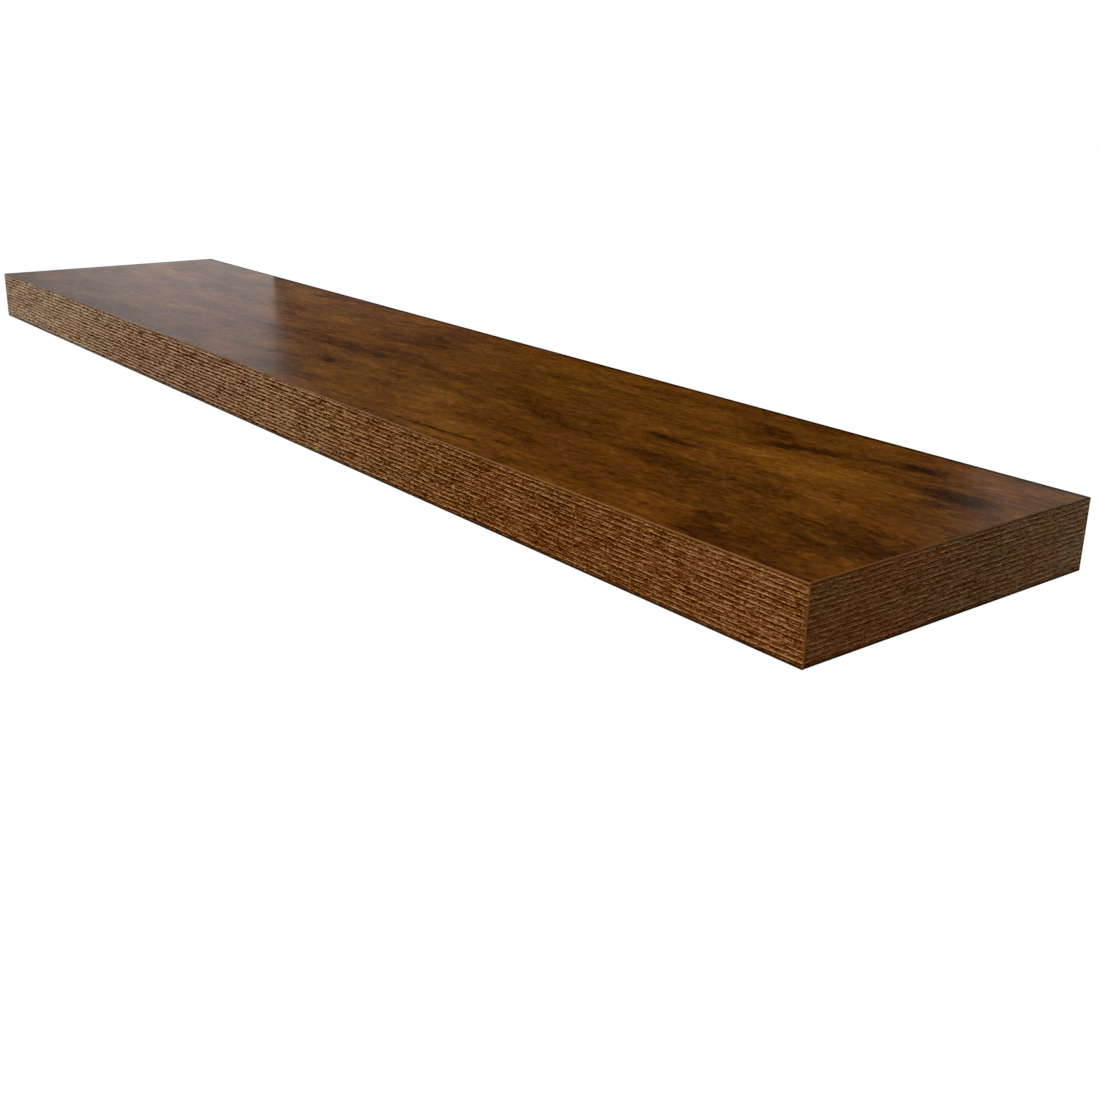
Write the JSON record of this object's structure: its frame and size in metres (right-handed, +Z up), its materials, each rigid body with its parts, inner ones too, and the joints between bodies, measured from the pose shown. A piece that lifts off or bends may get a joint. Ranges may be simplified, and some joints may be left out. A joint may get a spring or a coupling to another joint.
{
  "type": "floating wall shelf",
  "caption": "Straight floating wall shelf: hollow wood-decor board with banded edges that slides onto the rods of a hidden steel wall plate and is clamped by lock screws from below.",
  "frame": {"origin": "on the wall plane, at the middle of the shelf's length and of its thickness", "axes": "+X along the shelf's length toward the right end, +Y into the wall, +Z up"},
  "size_m": [0.965, 0.203, 0.038],
  "materials": {
    "face_decor": "satin printed wood decor",
    "edge_decor": "fine-lined printed wood decor",
    "fibreboard": "plain pressed fibreboard",
    "frame_wood": "planed softwood",
    "core_paper": "unbleached kraft paper",
    "staple_wire": "zinc-coated wire",
    "insert_zinc": "zinc plated",
    "screw_steel": "black oxide",
    "bracket_coat": "black powder coat"
  },
  "bodies": {
    "bracket": {"wall_plate": "bracket_coat", "left_rod": "bracket_coat", "centre_rod": "bracket_coat", "right_rod": "bracket_coat"},
    "shelf": {"top_laminate": "face_decor", "bottom_laminate": "face_decor", "top_panel": "fibreboard", "bottom_panel": "fibreboard", "front_rail": "frame_wood", "rear_rail": "frame_wood", "left_end_rail": "frame_wood", "right_end_rail": "frame_wood", "left_rib": "frame_wood", "centre_rib": "frame_wood", "right_rib": "frame_wood", "far_left_core": "core_paper", "left_core": "core_paper", "right_core": "core_paper", "far_right_core": "core_paper", "frame_staples": "staple_wire", "front_edge_band": "edge_decor", "rear_edge_band": "edge_decor", "left_edge_band": "edge_decor", "right_edge_band": "edge_decor", "left_insert": "insert_zinc", "right_insert": "insert_zinc"},
    "left_lock_screw": {"left_lock_screw": "screw_steel"},
    "right_lock_screw": {"right_lock_screw": "screw_steel"}
  },
  "joints": [
    {"name": "shelf_slide", "type": "slide", "parent": "bracket", "child": "shelf", "axis": [0, -1, 0], "range_m": [0, 0.165]},
    {"name": "left_lock_turn", "type": "hinge", "parent": "shelf", "child": "left_lock_screw", "pos_m": [-0.3, -0.07, -0.0123], "axis": [0, 0, 1], "range_deg": [-750, 0]},
    {"name": "right_lock_turn", "type": "hinge", "parent": "shelf", "child": "right_lock_screw", "pos_m": [0.3, -0.07, -0.0123], "axis": [0, 0, 1], "range_deg": [-750, 0]}
  ]
}
